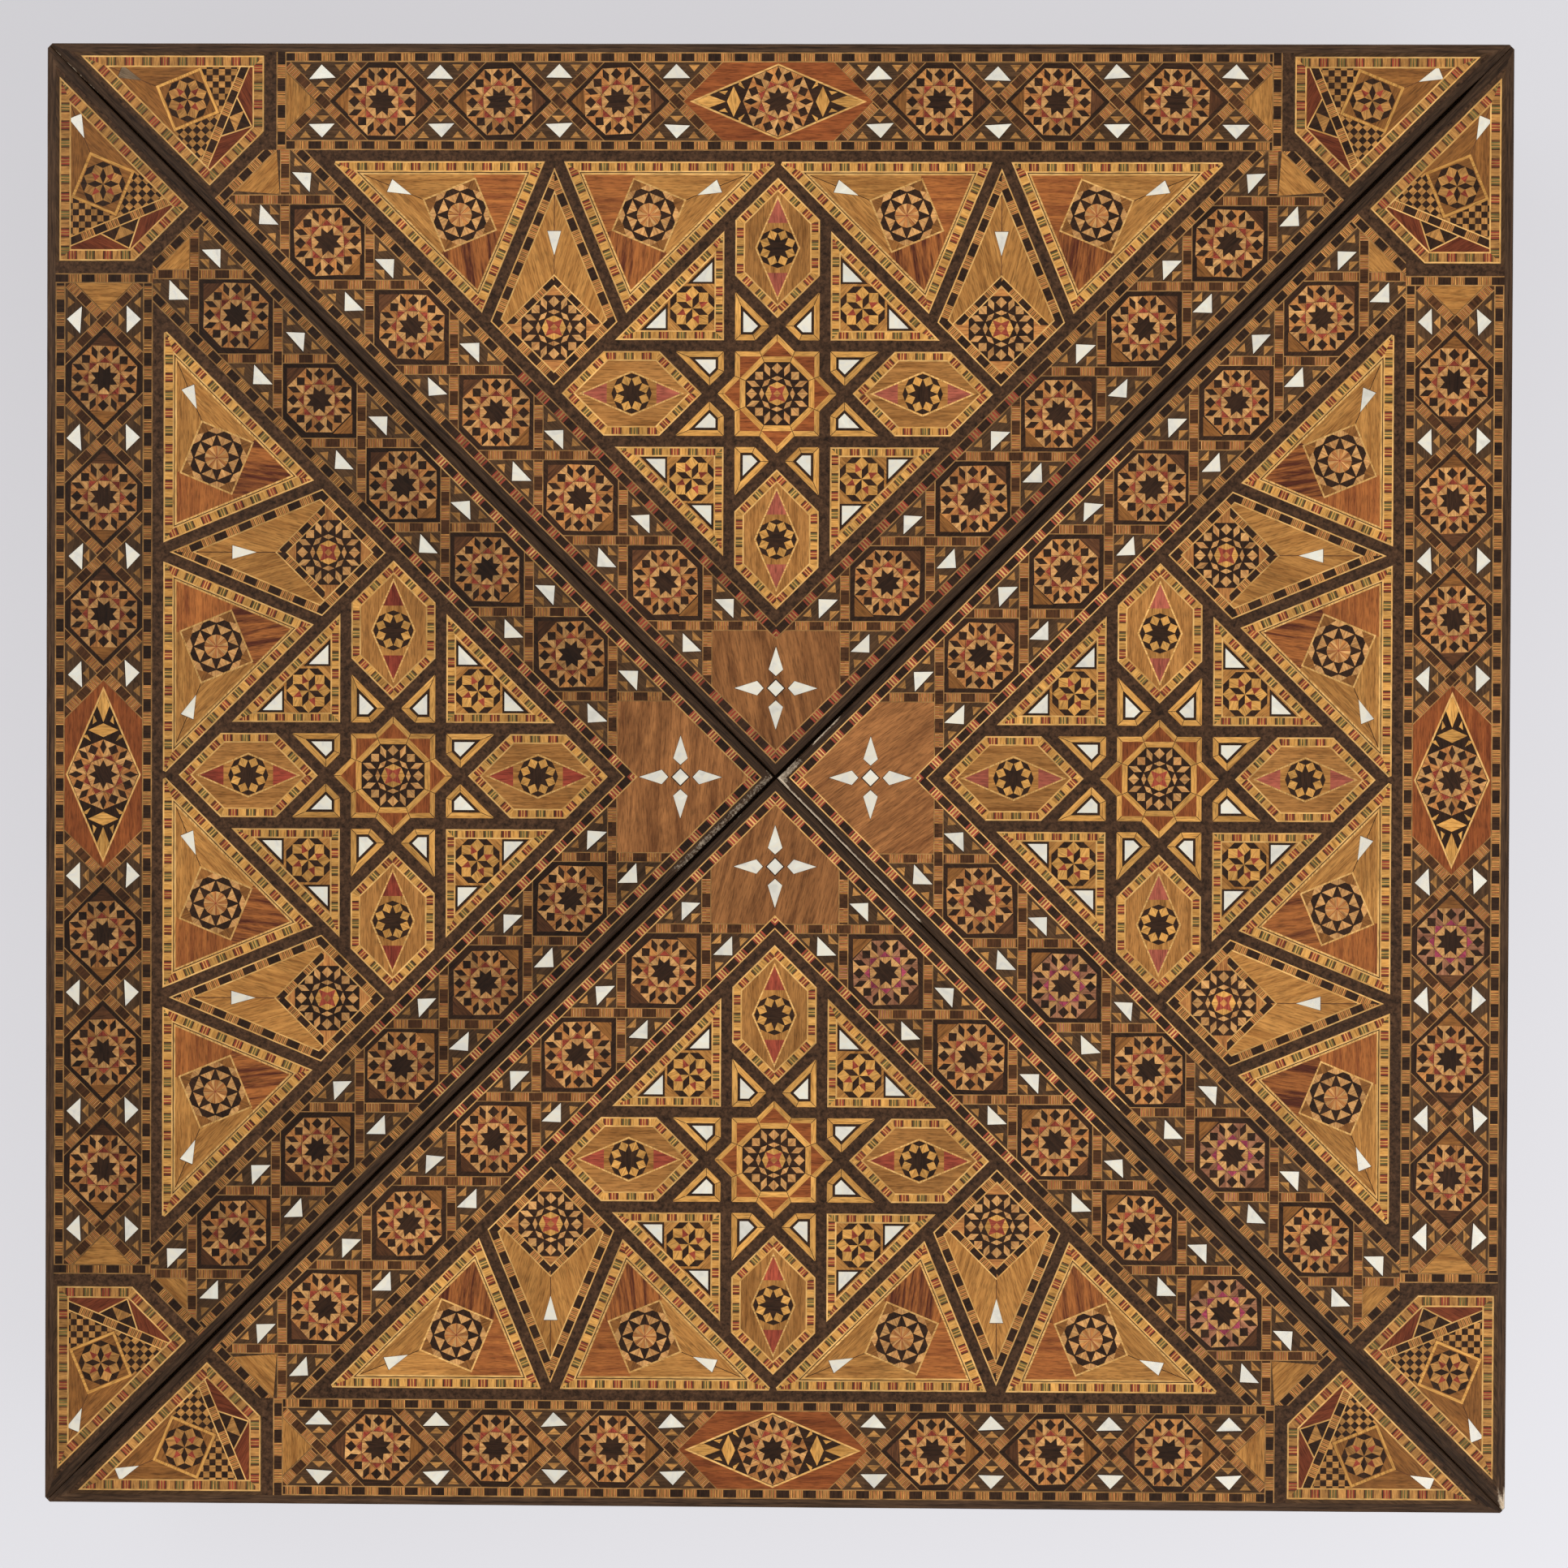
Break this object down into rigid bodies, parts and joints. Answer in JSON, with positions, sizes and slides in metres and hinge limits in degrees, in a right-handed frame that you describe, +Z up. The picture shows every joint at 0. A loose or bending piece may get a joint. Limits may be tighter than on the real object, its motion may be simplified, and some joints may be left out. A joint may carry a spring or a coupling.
{
  "type": "inlaid wooden box",
  "caption": "Square marquetry box; its flat top is triangular leaves hinged on the outer edges, each over a lined triangular compartment. Geometric star, ladder and pearl inlay.",
  "frame": {"origin": "middle of the underside of the base felt, on the surface the box stands on", "axes": "+Z up; -Y is the front side, which is the lower edge of the picture; +X is the picture's right"},
  "size_m": [0.5, 0.5, 0.11],
  "materials": {
    "walnut_dark": "shellac satin",
    "walnut_board": "oiled",
    "marquetry": "shellac satin",
    "mother_of_pearl": "polished",
    "brass": "aged satin",
    "velvet": "pile",
    "felt": "matte"
  },
  "bodies": {
    "carcass": {"base_felt": "felt", "compartment_lining_back": "velvet", "compartment_lining_front": "velvet", "compartment_lining_left": "velvet", "compartment_lining_right": "velvet", "divider_lower": "walnut_board", "divider_upper": "walnut_board", "floor_panel": "walnut_board", "hinge_wall_plates_back": "brass", "hinge_wall_plates_front": "brass", "hinge_wall_plates_left": "brass", "hinge_wall_plates_right": "brass", "mitre_splines": "walnut_board", "side_band_back": "marquetry", "side_band_front": "marquetry", "side_band_left": "marquetry", "side_band_right": "marquetry", "wall_back": "walnut_dark", "wall_front": "walnut_dark", "wall_left": "walnut_dark", "wall_right": "walnut_dark"},
    "leaf_front": {"leaf_front_core": "walnut_board", "leaf_front_hinge_plates": "brass", "leaf_front_lining": "velvet", "leaf_front_lips": "walnut_dark", "leaf_front_panels": "marquetry", "leaf_front_pearl": "mother_of_pearl", "leaf_front_star": "marquetry", "leaf_front_stringing": "walnut_dark", "leaf_front_strips": "marquetry"},
    "leaf_right": {"leaf_right_core": "walnut_board", "leaf_right_hinge_plates": "brass", "leaf_right_lining": "velvet", "leaf_right_lips": "walnut_dark", "leaf_right_panels": "marquetry", "leaf_right_pearl": "mother_of_pearl", "leaf_right_star": "marquetry", "leaf_right_stringing": "walnut_dark", "leaf_right_strips": "marquetry"},
    "leaf_back": {"leaf_back_core": "walnut_board", "leaf_back_hinge_plates": "brass", "leaf_back_lining": "velvet", "leaf_back_lips": "walnut_dark", "leaf_back_panels": "marquetry", "leaf_back_pearl": "mother_of_pearl", "leaf_back_star": "marquetry", "leaf_back_stringing": "walnut_dark", "leaf_back_strips": "marquetry"},
    "leaf_left": {"leaf_left_core": "walnut_board", "leaf_left_hinge_plates": "brass", "leaf_left_lining": "velvet", "leaf_left_lips": "walnut_dark", "leaf_left_panels": "marquetry", "leaf_left_pearl": "mother_of_pearl", "leaf_left_star": "marquetry", "leaf_left_stringing": "walnut_dark", "leaf_left_strips": "marquetry"}
  },
  "joints": [
    {"name": "front_leaf_hinge", "type": "hinge", "parent": "carcass", "child": "leaf_front", "pos_m": [0, -0.246, 0.0954], "axis": [1, 0, 0], "range_deg": [0, 110]},
    {"name": "right_leaf_hinge", "type": "hinge", "parent": "carcass", "child": "leaf_right", "pos_m": [0.246, 0, 0.0954], "axis": [0, 1, 0], "range_deg": [0, 110]},
    {"name": "back_leaf_hinge", "type": "hinge", "parent": "carcass", "child": "leaf_back", "pos_m": [0, 0.246, 0.0954], "axis": [-1, 0, 0], "range_deg": [0, 110]},
    {"name": "left_leaf_hinge", "type": "hinge", "parent": "carcass", "child": "leaf_left", "pos_m": [-0.246, 0, 0.0954], "axis": [0, -1, 0], "range_deg": [0, 110]}
  ]
}
